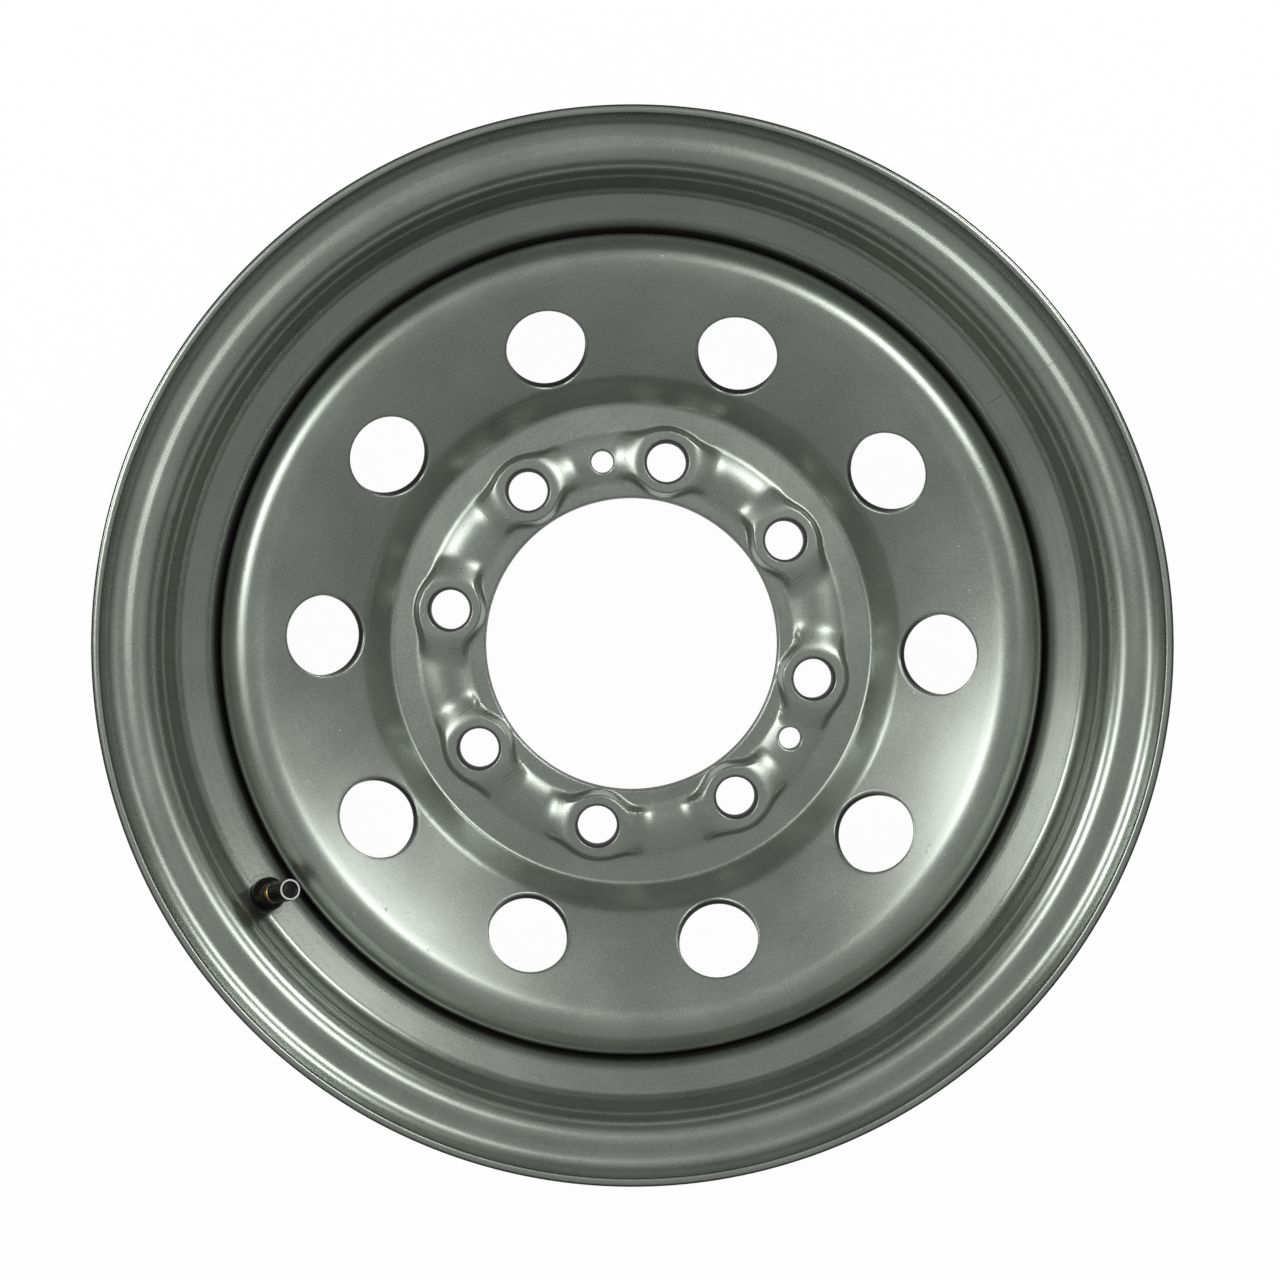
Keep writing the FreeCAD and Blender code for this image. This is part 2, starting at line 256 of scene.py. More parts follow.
def grey_paint(name, rolled):
    """The paint, with the marks of the rolled rim or else those of the pressed disc."""
    material, shader, spot = new_finish(name, Metallic=0.85, Coat_Roughness=0.18, Coat_IOR=1.5, IOR=1.5)
    x = spot.node("ShaderNodeSeparateXYZ", {}, {0: spot}, "X")
    y = x.output("Y")
    height = x.output("Z")
    radius = (x * x + y * y).maths("SQRT")
    turn = y.maths("ARCTAN2", x)
    flake = spot.noise(1.0, 1.5)
    peel = spot.noise(0.55, 1.5)
    cloud = spot.noise(0.035, 3.0)
    nibs = spot.noise(0.6, 0.0).step(0.79, 1.0) * NIB_HEIGHT
    tone = flake * 0.5 + cloud * 0.5
    rough = cloud * 0.06 + flake * 0.08 + PAINT_ROUGHNESS
    # The walls of the holes are painted nearly black: painted shade inside the holes.
    shade_and_wear = spot.node("ShaderNodeAttribute", {"attribute_name": HOLE_WALL}, {}, "Fac") * HOLE_SHADE
    if rolled:
        seam, coined, groove = rim_marks(spot, x, y, height, radius)
        around = {"X": radius, "Y": height, "Z": turn.maths("ABSOLUTE")}
        rings = spot.node("ShaderNodeCombineXYZ", {}, around).noise(0.8, 3.0, 0.6)
        tone = tone * 0.7 + rings * 0.3
        rough = rough + rings * 0.06 - 0.05
        surface = nibs + peel * 0.4 + rings * 0.7 - seam * SEAM_DEPTH - coined * COINED_DEPTH
        shade_and_wear = seam.maths("MAXIMUM", shade_and_wear)
        # Painted shade in the groove behind the disc.
        shade_and_wear = (groove * GROOVE_SHADE).maths("MAXIMUM", shade_and_wear)
    else:
        surface = peel + nibs
        shade_and_wear = (disc_rubs(spot, turn, radius) * RUB_SHADE).maths("MAXIMUM", shade_and_wear)
    paint = tone.step(0.25, 0.75).mix(grey(PAINT_DARK, PAINT_TINT), grey(PAINT_GREY, PAINT_TINT))
    shade_and_wear.mix(paint, grey(SHADE_AND_WEAR_GREY)).feed(shader, "Base Color")
    (rough + shade_and_wear * 0.3).feed(shader, "Roughness")
    (PAINT_COAT - shade_and_wear * PAINT_COAT).feed(shader, "Coat Weight")
    surface.bump(RIM_BUMP if rolled else DISC_BUMP).feed(shader, "Normal")
    return material


disc_paint = grey_paint("disc_paint", False)
rim_paint = grey_paint("rim_paint", True)
print("paints:", disc_paint.name, rim_paint.name)

# %% [markdown]
# ## The rim
# A rim is one strip of sheet, rolled through a set of formers and butt welded into a hoop. So it is drawn as
# the strip's section: a wire through its corners on the tyre side, each corner bevelled to its bend radius.
# The wire is spun about the axis and the sheet's gauge is added with solidify, which keeps the bends of the
# two sides concentric, as they are in real sheet.

# %% Draw a section with bends
BEND_STEP = math.radians(6)


def rounded_path(bm, corners):
    """Draws a wire through (radius, height, bend radius) corners of the half-plane."""
    places = [Vector((radius, 0, height)) for radius, height, bend in corners]
    verts = [bm.verts.new(place) for place in places]
    for pair in zip(verts, verts[1:]):
        bm.edges.new(pair)
    for index in range(1, len(corners) - 1):
        bend = corners[index][2]
        turn = (places[index] - places[index - 1]).angle(places[index + 1] - places[index])
        if bend:
            bmesh.ops.bevel(
                bm, geom=[verts[index]], offset=bend * math.tan(turn / 2), offset_type="OFFSET",
                segments=max(2, round(turn / BEND_STEP)), profile=0.5, affect="VERTICES", material=-1)


def spun(bm, steps):
    """Spins everything in a bmesh once round the axis."""
    bmesh.ops.spin(
        bm, geom=bm.verts[:] + bm.edges[:], cent=(0, 0, 0), axis=(0, 0, 1),
        angle=FULL_TURN, steps=steps, use_merge=True)


# %% Rim section
rim_gauge = 3.6
half_width = 76.2
bead_seat_radius = 202.8
seat_taper = math.tan(math.radians(5))
flange_top = (222.4, 75.0)
lip_height = 88.0
lip_bend = 12.0
heel_bend = 5.3
hump_height = 1.4
hump_inset = 14.5
hump_half = 3.5
hump_bend = 5.0
wall_top = 43.0
wall_tilt = math.tan(rim_wall_lean)
wall_top_bend = 10.6
well_radius = 182.6
well_bend = 9.0
well_inboard = 10.0
ramp_slope = math.tan(math.radians(40))
ramp_bend = 14.0
ramp_end_guess = 30.0
RIM_STEPS = 300


def seat(height):
    """Radius of the tapered bead seat at a distance from the middle plane."""
    return bead_seat_radius - (half_width - height) * seat_taper


def flange_side():
    """Lip, flange, heel and hump of one side, as distances from the middle plane."""
    hump = half_width - hump_inset
    return [
        (flange_top[0], lip_height, 0),
        (*flange_top, lip_bend),
        (bead_seat_radius, half_width, heel_bend),
        (seat(hump + hump_half), hump + hump_half, hump_bend),
        (seat(hump) + hump_height, hump, hump_bend),
        (seat(hump - hump_half), hump - hump_half, hump_bend),
    ]


outboard = flange_side()
inboard = [(radius, -height, bend) for radius, height, bend in reversed(outboard)]
wall_foot = wall_top - (seat(wall_top) - well_radius) * wall_tilt
ledge_height = well_inboard + (seat(ramp_end_guess) - well_radius) / ramp_slope
rim_section = outboard + [
    (seat(wall_top), wall_top, wall_top_bend),
    (well_radius, wall_foot, well_bend),
    (well_radius, -well_inboard, ramp_bend),
    (seat(ledge_height), -ledge_height, ramp_bend),
] + inboard
print("rim section corners:", len(rim_section))

# %% [markdown]
# The lip is the edge of the strip, and it is dressed before it is painted. An edge bevel takes its two
# corners nearly to a half round.

# %% Spin and thicken the rim
lip_round = 1.5
lip_segments = 4
lip_slack = 0.5
lip_corner = 1.0
bm = bmesh.new()
rounded_path(bm, rim_section)
spun(bm, RIM_STEPS)
bmesh.ops.recalc_face_normals(bm, faces=bm.faces)
bmesh.ops.solidify(bm, geom=bm.faces[:], thickness=rim_gauge)
lip_edges = [
    edge for edge in bm.edges
    if all(abs(vert.co.z) > lip_height - lip_slack for vert in edge.verts)
    and edge.calc_face_angle(0) > lip_corner]
bmesh.ops.bevel(
    bm, geom=lip_edges, offset=lip_round, offset_type="OFFSET", segments=lip_segments, profile=0.5,
    affect="EDGES", material=-1)
radii = [vert.co.xy.length for vert in bm.verts]
print("rim radii:", round(min(radii), 2), round(max(radii), 2), "lip edges:", len(lip_edges))
finished_piece(bm, "rolled_rim", rim_paint, "wheel", "grey_paint", "rim")

# %% [markdown]
# ## The disc's form
# The disc is pressed from thick sheet: a flat hub ring with a ridge on it, a boss at each bolt, a steep step
# up to a bowl, and a crown that turns over into the skirt. Up to the crown it can be read as a height over
# the plan, so its form is a handful of slopes joined by soft corners. The bowl alone isn't straight: it
# starts steeper at its root. The same slopes moved by the gauge give the back.

# %% Slopes of the pressing
disc_gauge = 5.5
bore_radius = 65.4
crease_radius = 108.0
crease_blend = 1.6
wall_angle = math.radians(52)
root_radius = 117.5
root_blend = 1.0
root_steepness = 0.12
bowl_angle = math.radians(28.8)
bowl_easing = 36.0
ring_fall = 0.03
back_blend = 5.0


def soft_min(first, second, blend):
    """The lesser of two heights, with a rounded corner where they meet."""
    overlap = max(blend - abs(first - second), 0)
    return min(first, second) - overlap * overlap / (4 * blend)


def soft_max(first, second, blend):
    """The greater of two heights, with a rounded corner where they meet."""
    return -soft_min(-first, -second, blend)


def ease(share):
    """A smooth 0 to 1."""
    share = min(max(share, 0), 1)
    return share * share * (3 - 2 * share)


def wall_height(radius):
    """Height of the steep step, which leaves the hub's flat at the crease."""
    return disc_gauge + (radius - crease_radius) * math.tan(wall_angle)


def bowl_height(radius):
    """Height of the bowl, which starts steeper at its root than it ends."""
    run = min(max(radius - root_radius, -bowl_easing), bowl_easing)
    extra = root_steepness * run * (1 - run / (2 * bowl_easing))
    return wall_height(root_radius) + (radius - root_radius) * math.tan(bowl_angle) + extra


# %% [markdown]
# The bolt land is the part that takes the most care. A low ridge runs round the hub, gently crowned and with
# a crease at its foot. It climbs to a flat pad at each bolt over a soft ramp all round the pad. Where the pad
# bulges out of the ridge it has a narrow flank, and the outline there is one soft shape: the distance inside
# the ridge's band or inside the pad's circle, whichever is more.

# %% Ridge and bosses
bolt_circle = 82.55
ridge_inner = 72.8
ridge_outer = 95.3
ridge_rise = 2.3
boss_rise = 5.4
boss_foot = 16.4
boss_slope = 3.0
boss_half = 12.0
pad_stretch = 0.75
ramp_end = 25.0
outline_blend = 5.0
land_hollow = 1.4
ridge_middle = (ridge_inner + ridge_outer) / 2
ridge_half = (ridge_outer - ridge_inner) / 2


def ridge_height(radius):
    """Crowned section of the ridge over the flat of the hub."""
    return ridge_rise * max(1 - ((radius - ridge_middle) / ridge_half) ** 2, 0)


def land_rise(radius, angle):
    """Height of the ridge and the bosses over the flat of the hub."""
    off = (angle + BOLT_PITCH / 2) % BOLT_PITCH - BOLT_PITCH / 2
    out = radius * math.cos(off) - bolt_circle
    across = radius * math.sin(off)
    reach = math.hypot(out, across)
    near = ease((ramp_end - math.hypot(out * pad_stretch, across)) / (ramp_end - boss_half))
    flank = 1
    for inside in (radius - ridge_inner, ridge_outer - radius):
        flank *= ease(soft_max(inside, boss_foot - reach, outline_blend) / boss_slope)
    return ridge_height(radius) * (1 - near) + boss_rise * near * flank


def front_height(radius, angle):
    """Outboard side of the pressing, from the bore to the crown."""
    flat = disc_gauge - ring_fall * max(radius - ridge_outer, 0)
    floor = flat + land_rise(radius, angle)
    dish = soft_min(wall_height(radius), bowl_height(radius), root_blend)
    return soft_max(floor, dish, crease_blend)


def back_height(radius, angle):
    """Inboard side of the pressing, a gauge below the outboard side, hollow under the ridge."""
    hollow = land_hollow / ridge_rise * ridge_height(radius)
    wall = wall_height(radius) - disc_gauge / math.cos(wall_angle)
    bowl = bowl_height(radius) - disc_gauge / math.cos(bowl_angle)
    return soft_max(hollow, soft_min(wall, bowl, back_blend), back_blend)


# %% [markdown]
# ## Patches with holes
# A hole in a curved sheet shades cleanly only when the cells run round it. So each hole gets a patch: a line
# of vertices is spun into a ring of cells, the ring's inner edge is laid on the hole and its outer edge on
# the border of a sector of the disc, and every vertex is lifted to the pressing's height. The hole's edge is
# then extruded through a quarter round, as a punch rolls it, and bridged to the back.
#
# A sector is its lowest and highest radius, its first angle, its columns and rows of cells, and a power that
# packs the rows. A hole is its centre's radius and angle, and its half sizes outwards and round.

# %% Lay a ring of cells round a hole
COLUMN = math.radians(1.5)
RING_PACKING = 1.25


def border_walk(walk, columns, rows):
    """Shares of the (radial, turning) sides of a sector, after a walk along its border in cells."""
    if walk < rows:
        return walk / rows, 1
    if walk < rows + columns:
        return 1, 1 - (walk - rows) / columns
    if walk < 2 * rows + columns:
        return 1 - (walk - rows - columns) / rows, 0
    return 0, (walk - 2 * rows - columns) / columns


def ring_patch(bm, sector, hole, rings, height):
    """Adds a sector's side with an oval hole in it, and gives the edges of the hole."""
    low, high, start, columns, rows, packing = sector
    hole_radius, hole_angle, radial, tangential = hole
    cells = 2 * (columns + rows)
    first = len(bm.verts)
    line = [bm.verts.new((1 + step / rings, 0, 0)) for step in range(rings + 1)]
    edges = [bm.edges.new(pair) for pair in zip(line, line[1:])]
    bmesh.ops.spin(
        bm, geom=line + edges, cent=(0, 0, 0), axis=(0, 0, 1), angle=FULL_TURN, steps=cells, use_merge=True)
    bm.verts.ensure_lookup_table()
    made = bm.verts[first:]
    out = Vector((math.cos(hole_angle), math.sin(hole_angle)))
    side = Vector((-out.y, out.x))
    centre = out * hole_radius
    rim_verts = set()
    for vert in made:
        reach = max(vert.co.xy.length - 1, 0)
        walk = round(math.atan2(vert.co.y, vert.co.x) / FULL_TURN * cells) % cells
        row, column = border_walk(walk, columns, rows)
        radius = low + (high - low) * row ** packing
        angle = start + column * columns * COLUMN
        border = Vector((math.cos(angle), math.sin(angle))) * radius
        away = border - centre
        turn = math.atan2(away.dot(side) / tangential, away.dot(out) / radial)
        edge = centre + out * (radial * math.cos(turn)) + side * (tangential * math.sin(turn))
        if reach < 0.5 / rings:
            rim_verts.add(vert)
        place = edge.lerp(border, reach ** RING_PACKING)
        vert.co = (*place, height(place.length, math.atan2(place.y, place.x)))
    return [edge for vert in rim_verts for edge in vert.link_edges if edge.other_vert(vert) in rim_verts]


def new_patch():
    """An empty mesh whose vertices can be marked as part of a hole's wall."""
    bm = bmesh.new()
    bm.verts.layers.float.new(HOLE_WALL)
    return bm


# %% Roll the edge of a hole
# Vertices past this share of the rolled edge are marked as hole wall, which the paint darkens as painted
# shade.
WALL_START = 0.9


def rolled_in(bm, loop, axis_frame, steps, edge):
    """Extrudes a loop through (radius, depth) steps about a hole's own axis, and gives the last loop."""
    loop = list(set(loop))
    wall_mark = bm.verts.layers.float[HOLE_WALL]
    space = axis_frame.inverted()
    for (radius_before, depth_before), (radius, depth) in zip(steps, steps[1:]):
        made = bmesh.ops.extrude_edge_only(bm, edges=loop)["geom"]
        verts = {item for item in made if isinstance(item, bmesh.types.BMVert)}
        loop = [item for item in made if isinstance(item, bmesh.types.BMEdge) and set(item.verts) <= verts]
        share = radius / radius_before
        bmesh.ops.scale(bm, vec=(share, share, 1), space=space, verts=list(verts))
        drop = axis_frame.to_3x3() @ Vector((0, 0, depth_before - depth))
        bmesh.ops.translate(bm, vec=drop, verts=list(verts))
        for vert in verts:
            vert[wall_mark] = 1.0 if depth > WALL_START * edge else 0.0
    return loop


def quarter_round(radius, edge, steps=4):
    """(radius, depth) steps from a face into a hole of a radius, round a rolled edge."""
    turns = [math.pi / 2 * step / steps for step in range(steps + 1)]
    return [(radius + edge * (1 - math.sin(turn)), edge * (1 - math.cos(turn))) for turn in turns]


def bridged(bm, front_loop, back_loop):
    """Closes a hole's wall between the two sides."""
    wall_mark = bm.verts.layers.float[HOLE_WALL]
    for edge in back_loop:
        for vert in edge.verts:
            vert[wall_mark] = 1.0
    bmesh.ops.bridge_loops(bm, edges=list(set(front_loop)) + list(set(back_loop)))


# %% Plain patches, and copies of a patch
def plain_patch(bm, sector, height):
    """Adds a sector's side with no hole in it."""
    low, high, start, columns, rows, packing = sector
    first = len(bm.verts)
    shares = [(step / rows) ** packing for step in range(rows + 1)]
    line = [bm.verts.new((low + (high - low) * share, 0, 0)) for share in shares]
    edges = [bm.edges.new(pair) for pair in zip(line, line[1:])]
    bmesh.ops.rotate(bm, verts=line, cent=(0, 0, 0), matrix=Matrix.Rotation(start, 3, "Z"))
    bmesh.ops.spin(
        bm, geom=line + edges, cent=(0, 0, 0), axis=(0, 0, 1), angle=columns * COLUMN, steps=columns)
    bm.verts.ensure_lookup_table()
    for vert in bm.verts[first:]:
        vert.co.z = height(vert.co.xy.length, math.atan2(vert.co.y, vert.co.x))


def stamped(bm, patch, angle):
    """Adds a copy of a patch's mesh, turned about the axis."""
    first = len(bm.verts)
    bm.from_mesh(patch)
    bm.verts.ensure_lookup_table()
    bmesh.ops.rotate(bm, verts=bm.verts[first:], cent=(0, 0, 0), matrix=Matrix.Rotation(angle, 3, "Z"))


def kept_mesh(bm, name):
    """Keeps a patch as a mesh that can be stamped."""
    mesh = bpy.data.meshes.new(name)
    bm.to_mesh(mesh)
    bm.free()
    return mesh


# %% [markdown]
# ## Bolt, tooling and hand holes
# One patch is made for each kind of hole, and a plain one for the land between the bolts. A bolt hole has a
# cone for the nut below its rolled edge. A hand hole is punched square to the slope of the bowl, so its frame
# leans and its back lies further out.

# %% Make a patch with a hole
def holed_patch(name, sectors, holes, rings, axis_frame, steps, edge):
    """Keeps a patch with a hole, from the sectors, holes and rings of cells of its front and back."""
    bm = new_patch()
    sides = zip(sectors, holes, rings, (front_height, back_height))
    front, back = [ring_patch(bm, *side) for side in sides]
    wall = rolled_in(bm, front, axis_frame, steps, edge)
    bridged(bm, wall, back)
    return kept_mesh(bm, name)


def upright(radius, angle, height):
    """Frame of a hole that goes straight down, at a place on the disc."""
    return Matrix.Translation((radius * math.cos(angle), radius * math.sin(angle), height))


# %% Bolt hole patch
land_low = 66.6
land_high = 102.0
land_rows = 26
bolt_columns = 20
bolt_hole = 8.75
bolt_edge = 0.5
bolt_rings = (22, 14)
nut_seat = 9.8
nut_seat_depth = 2.5


def land_sectors(start, columns):
    """A sector of the land, in front from where the bore's edge is rolled and at the back from the bore."""
    return [(low, land_high, start, columns, land_rows, 1.0) for low in (land_low, bore_radius)]


flare = nut_seat + bolt_edge
seat_steps = quarter_round(nut_seat, bolt_edge, steps=3) + [
    (bolt_hole, bolt_edge + nut_seat_depth), (bolt_hole, boss_rise)]
bolt_patch = holed_patch(
    "bolt_patch", land_sectors(-bolt_columns * COLUMN / 2, bolt_columns),
    [(bolt_circle, 0, flare, flare), (bolt_circle, 0, bolt_hole, bolt_hole)], bolt_rings,
    upright(bolt_circle, 0, disc_gauge + boss_rise), seat_steps, bolt_edge)
print("bolt patch faces:", len(bolt_patch.polygons))

# %% Land between the bolts
between_columns = 10
between_sectors = land_sectors(bolt_columns * COLUMN / 2, between_columns)
bm = bmesh.new()
for sector, height in zip(between_sectors, (front_height, back_height)):
    plain_patch(bm, sector, height)
between_patch = kept_mesh(bm, "between_patch")
print("plain patch faces:", len(between_patch.polygons))

# %% [markdown]
# Two of these stretches have a tooling hole. The bolt before it and its angle past that bolt place each one.

# %% Tooling hole patches
tooling_hole = 4.9
tooling_edge = 1.0
tooling_rings = (14, 10)
tooling_turns = {1: math.radians(20), 6: math.radians(25)}
flare = tooling_hole + tooling_edge
tooling_patches = {}
for bolt, hole_turn in tooling_turns.items():
    tooling_patches[bolt] = holed_patch(
        f"tooling_patch_{bolt}", between_sectors,
        [(bolt_circle, hole_turn, flare, flare), (bolt_circle, hole_turn, tooling_hole, tooling_hole)],
        tooling_rings, upright(bolt_circle, hole_turn, disc_gauge + ridge_rise),
        quarter_round(tooling_hole, tooling_edge), tooling_edge)
print("tooling holes after bolts:", sorted(tooling_patches))

# %% Hand hole patch
hand_count = 10
hand_columns = 24
hand_rows = 24
hand_low = 115.0
hand_high = 155.0
hand_packing = 1.3
hand_circle = 134.0
hand_hole = 17.5
hand_edge = 1.1
hand_rings = (11, 9)
lean = Matrix.Rotation(-bowl_angle, 4, "Y")
hand_frame = Matrix.Translation((hand_circle, 0, bowl_height(hand_circle))) @ lean
hand_back = hand_circle + disc_gauge * math.sin(bowl_angle)
hand_sector = (hand_low, hand_high, -hand_columns * COLUMN / 2, hand_columns, hand_rows, hand_packing)
flare = hand_hole + hand_edge
shortened = math.cos(bowl_angle)
hand_patch = holed_patch(
    "hand_patch", (hand_sector, hand_sector),
    [(hand_circle, 0, flare * shortened, flare), (hand_back, 0, hand_hole * shortened, hand_hole)],
    hand_rings, hand_frame, quarter_round(hand_hole, hand_edge), hand_edge)
print("hand hole patch faces:", len(hand_patch.polygons))

# %% [markdown]
# ## Put the disc together
# The patches are stamped round the axis, a plain ring fills the step between them, and the crown and skirt
# are a spun section like the rim's. Merging the doubles sews all borders, because every patch puts its border
# vertices on the same columns.

# %% Stamp the patches and the step
full_columns = round(FULL_TURN / COLUMN)
step_rows = 18
step_sector = (land_high, hand_low, 0, full_columns, step_rows, 1.0)
bm = bmesh.new()
for height in (front_height, back_height):
    plain_patch(bm, step_sector, height)
step_patch = kept_mesh(bm, "step")

pressing = new_patch()
for bolt in range(BOLT_COUNT):
    stamped(pressing, bolt_patch, bolt * BOLT_PITCH)
    stamped(pressing, tooling_patches.get(bolt, between_patch), bolt * BOLT_PITCH)
for index in range(hand_count):
    stamped(pressing, hand_patch, index * FULL_TURN / hand_count)
stamped(pressing, step_patch, 0)
print("disc vertices without the crown:", len(pressing.verts))

# %% Crown and skirt
skirt_radius = 178.85
skirt_end = 6.0
skirt_edge = 0.8
crown_bend = 12.5
crown_inner_bend = 17.0
crown_flat = 0.3
inner_radius = skirt_radius - disc_gauge
half_lean = math.tan(bowl_angle / 2)
brow_radius = skirt_radius - crown_bend - crown_flat - crown_inner_bend * half_lean
brow_back = brow_radius + disc_gauge * half_lean
crown_top = bowl_height(brow_radius)
crown_under = crown_top - disc_gauge
bowl_end = bowl_height(hand_high)
bowl_end_back = bowl_end - disc_gauge / math.cos(bowl_angle)
bm = bmesh.new()
rounded_path(bm, [
    (hand_high, bowl_end, 0),
    (brow_radius, crown_top, crown_inner_bend),
    (skirt_radius, crown_top, crown_bend),
    (skirt_radius, skirt_end, skirt_edge),
    (inner_radius, skirt_end, skirt_edge),
    (inner_radius, crown_under, crown_bend - disc_gauge),
    (brow_back, crown_under, crown_inner_bend - disc_gauge),
    (hand_high, bowl_end_back, 0),
])
spun(bm, full_columns)
crown_patch = kept_mesh(bm, "crown")
stamped(pressing, crown_patch, 0)
print("crown top:", round(crown_top, 2), "brow radius:", round(brow_radius, 2))

# %% Sew the disc and roll the bore's edge
bore_edge = land_low - bore_radius
bmesh.ops.remove_doubles(pressing, verts=pressing.verts, dist=MERGE)
open_edges = [edge for edge in pressing.edges if edge.is_boundary]
bore_front = [edge for edge in open_edges if edge.verts[0].co.z > disc_gauge / 2]
bore_back = [edge for edge in open_edges if edge.verts[0].co.z < disc_gauge / 2]
print("bore edges:", len(bore_front), len(bore_back))
bore_steps = quarter_round(bore_radius, bore_edge)
bore_wall = rolled_in(pressing, bore_front, Matrix.Identity(4), bore_steps, bore_edge)
bridged(pressing, bore_wall, bore_back)
finished_piece(pressing, "pressed_disc", disc_paint, "wheel", "grey_paint", "disc")
for patch in (bolt_patch, between_patch, hand_patch, step_patch, crown_patch, *tooling_patches.values()):
    bpy.data.meshes.remove(patch)

# %% [markdown]
# ## Weld beads
# The disc's skirt is joined to the well by eight short beads along its inboard end. A bead is laid drop by
# drop, so its section is spun along the joint in many steps. Every other step is swollen or drawn in by
# turns, and both ends are drawn together where the welder starts and stops.

# %% One bead
weld_arc = math.radians(32)
weld_leg = 5.0
weld_hollow = 0.25
weld_flats = 8
weld_gap = 0.1
weld_steps = 72
weld_swell = 0.07
weld_taper = 5
weld_start = 0.3
well_inner = well_radius - rim_gauge
weld_root = Vector((well_inner - weld_gap, 0, skirt_end - weld_gap))

bm = bmesh.new()
loop = [bm.verts.new(weld_root)]
for flat in range(weld_flats + 1):
    turn = math.pi / 2 * flat / weld_flats
    leg = weld_leg * (1 - weld_hollow * math.sin(2 * turn))
    loop.append(bm.verts.new(weld_root + Vector((-math.sin(turn), 0, -math.cos(turn))) * leg))
edges = [bm.edges.new(pair) for pair in zip(loop, loop[1:] + loop[:1])]
bmesh.ops.rotate(bm, verts=loop, cent=(0, 0, 0), matrix=Matrix.Rotation(-weld_arc / 2, 3, "Z"))
bmesh.ops.spin(bm, geom=loop + edges, cent=(0, 0, 0), axis=(0, 0, 1), angle=weld_arc, steps=weld_steps)
for vert in bm.verts:
    angle = math.atan2(vert.co.y, vert.co.x)
    ripple = round((angle / weld_arc + 0.5) * weld_steps)
    root = Matrix.Rotation(angle, 3, "Z") @ weld_root
    fullness = weld_start + (1 - weld_start) * ease(min(ripple, weld_steps - ripple) / weld_taper)
    swell = 1 + weld_swell * (-1) ** (ripple // 2) if ripple % 2 else 1
    vert.co = root.lerp(vert.co, fullness * swell)
bmesh.ops.holes_fill(bm, edges=[edge for edge in bm.edges if edge.is_boundary], sides=0)
bead = kept_mesh(bm, "bead")
print("bead faces:", len(bead.polygons))

# %% Lay the beads
weld_count = 8
weld_paint = grey_paint("weld_paint", False)
bm = bmesh.new()
for index in range(weld_count):
    stamped(bm, bead, index * FULL_TURN / weld_count)
bpy.data.meshes.remove(bead)
finished_piece(bm, "weld_beads", weld_paint, "wheel", "weld_paint", "disc_weld")

# %% [markdown]
# ## Finishes of the valve
# Rubber, plastic and metal are short materials of one kind: a colour, a roughness and a bump that all waver.
# The rubber is polished by its mould and has a little dust on it. The brass is dull where it was never wiped.
# The rim of the cap's end is painted light grey as a painted highlight, broken up by noise. It is found by its
# distance along the stem.

# %% Rubber and metal
def speckled(name, dark, light, scale, rough, depth, **constants):
    """A finish that wavers between two colours, with a roughness and a bump that waver too."""
    material, shader, spot = new_finish(name, **constants)
    cloud = spot.noise(scale, 3.0, 0.6)
    grain = spot.noise(8 * scale, 1.0)
    colour = cloud.step(0.35, 0.7).mix(dark, light)
    colour.feed(shader, "Base Color")
    (cloud * 0.12 + rough).feed(shader, "Roughness")
    grain.bump(depth).feed(shader, "Normal")
    return material, shader, spot, colour


rubber = speckled(
    "moulded_rubber", grey(0.002), grey(0.006),
    scale=0.3, rough=0.20, depth=0.01, Specular_IOR_Level=0.3)[0]
core_rubber = speckled(
    "small_rubber", grey(0.01), grey(0.03),
    scale=0.8, rough=0.45, depth=0.01)[0]
core_seal = speckled(
    "red_seal", (0.25, 0.02, 0.015, 1), (0.38, 0.04, 0.03, 1),
    scale=0.9, rough=0.5, depth=0.01)[0]
brass = speckled(
    "dull_brass", (0.50, 0.36, 0.14, 1), (0.74, 0.58, 0.28, 1),
    scale=0.6, rough=0.30, depth=0.008, Metallic=1.0)[0]
core_brass = speckled(
    "bright_brass", (0.50, 0.37, 0.15, 1), (0.66, 0.51, 0.25, 1),
    scale=0.9, rough=0.24, depth=0.006, Metallic=1.0)[0]
spring_steel = speckled(
    "spring_wire", grey(0.30), grey(0.48),
    scale=1.2, rough=0.26, depth=0.006, Metallic=1.0)[0]
finishes = (rubber, core_rubber, core_seal, brass, core_brass, spring_steel)
print("finishes:", [finish.name for finish in finishes])

# %% Plastic with a painted highlight on its end
stem_foot = Vector((-190.9946, 0.1828, 41.8648))
stem_axis = Vector((0.5112, -0.12187, 0.85078)).normalized()
cap_end = 27.75
highlight_start = 0.45
highlight_full = 0.2
highlight_grey = 0.72
cap_plastic, shader, spot, colour = speckled(
    "ribbed_plastic", grey(0.003), grey(0.008),
    scale=0.5, rough=0.16, depth=0.008, Specular_IOR_Level=0.35)
end_place = stem_foot.dot(stem_axis) + cap_end
along_stem = spot.vector_maths("DOT_PRODUCT", stem_axis, output="Value")
# The rim of the end is painted light grey: a painted highlight, broken up by noise.
painted_highlight = along_stem.step(end_place - highlight_start, end_place - highlight_full)
highlight_breakup = spot.noise(2.5, 2.0).step(0.62, 0.75)
(painted_highlight * (1 - highlight_breakup * 0.5)).mix(colour, grey(highlight_grey)).feed(shader, "Base Color")
print("cap finish:", cap_plastic.name)

# %% [markdown]
# ## The valve
# A snap-in valve is a rubber plug moulded on a brass tube. Its foot sits square on the tyre side of the rim,
# and its bulb leans a little with the tube. So the foot is turned about the hole's axis and the bulb about
# the tube's, and the two shells are bridged: first outside, from the foot's neck to the bulb, then round the
# bore at the foot's end.

